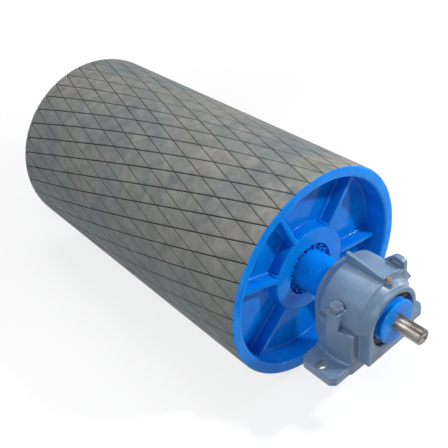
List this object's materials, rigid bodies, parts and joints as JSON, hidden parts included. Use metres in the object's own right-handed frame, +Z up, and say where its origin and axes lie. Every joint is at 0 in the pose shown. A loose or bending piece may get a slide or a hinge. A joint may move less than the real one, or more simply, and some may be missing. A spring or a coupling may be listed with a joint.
{
  "type": "conveyor pulley drum",
  "caption": "Lagged conveyor pulley drum with recessed ribbed ends, shaft and bearings in two split plummer blocks.",
  "frame": {"origin": "middle of the lagged face, on the shaft's axis", "axes": "+X along the shaft towards the bare drive end stub, +Z up away from the housings' feet"},
  "size_m": [1.765, 0.66, 0.66],
  "materials": {
    "lagging_rubber": "worn, dusty grooved rubber",
    "drum_paint": "gloss blue enamel",
    "shaft_steel": "gloss blue enamel, bare and brown at the stub",
    "ground_steel": "ground and oiled",
    "bolt_steel": "dull zinc",
    "cage_brass": "machined",
    "nipple_brass": "machined",
    "housing_casting": "grey-blue paint over a sand-cast skin",
    "seal_rubber": "matt black"
  },
  "bodies": {
    "housings": {"housing_base_drive": "housing_casting", "housing_cap_drive": "housing_casting", "housing_base_free": "housing_casting", "housing_cap_free": "housing_casting", "cap_bolts": "bolt_steel", "cap_dowels": "ground_steel", "bearing_outer_ring_drive": "ground_steel", "bearing_outer_ring_free": "ground_steel", "locating_rings": "ground_steel", "seal_rings": "seal_rubber", "end_cover_free": "housing_casting", "grease_nipples": "nipple_brass"},
    "drum": {"shell": "drum_paint", "lagging": "lagging_rubber", "end_disc_drive": "drum_paint", "end_disc_free": "drum_paint", "hub_drive": "drum_paint", "hub_free": "drum_paint", "ribs_drive": "drum_paint", "ribs_free": "drum_paint", "stiffening_ring": "drum_paint", "shaft": "shaft_steel", "clamp_inner_rings": "ground_steel", "clamp_outer_rings": "ground_steel", "clamp_front_rings": "ground_steel", "clamp_rear_rings": "ground_steel", "clamp_screws": "bolt_steel", "bearing_inner_ring_drive": "ground_steel", "bearing_inner_ring_free": "ground_steel", "adapter_sleeves": "ground_steel", "lock_nuts": "ground_steel", "lock_washers": "bolt_steel", "flinger_drive_outer": "drum_paint", "flinger_drive_inner": "drum_paint", "flinger_free_inner": "drum_paint"},
    "cage_drive": {"cage_drive": "cage_brass", "rollers_drive": "ground_steel"},
    "cage_free": {"cage_free": "cage_brass", "rollers_free": "ground_steel"}
  },
  "joints": [
    {"name": "drum_spin", "type": "hinge", "parent": "housings", "child": "drum", "pos_m": [0, 0, 0], "axis": [1, 0, 0], "continuous": true},
    {"name": "cage_drive_spin", "type": "hinge", "parent": "housings", "child": "cage_drive", "pos_m": [0, 0, 0], "axis": [1, 0, 0], "continuous": true},
    {"name": "cage_free_spin", "type": "hinge", "parent": "housings", "child": "cage_free", "pos_m": [0, 0, 0], "axis": [1, 0, 0], "continuous": true}
  ],
  "couplings": [
    {"joint": "cage_drive_spin", "follows": "drum_spin", "ratio": 0.4286},
    {"joint": "cage_free_spin", "follows": "drum_spin", "ratio": 0.4286}
  ]
}
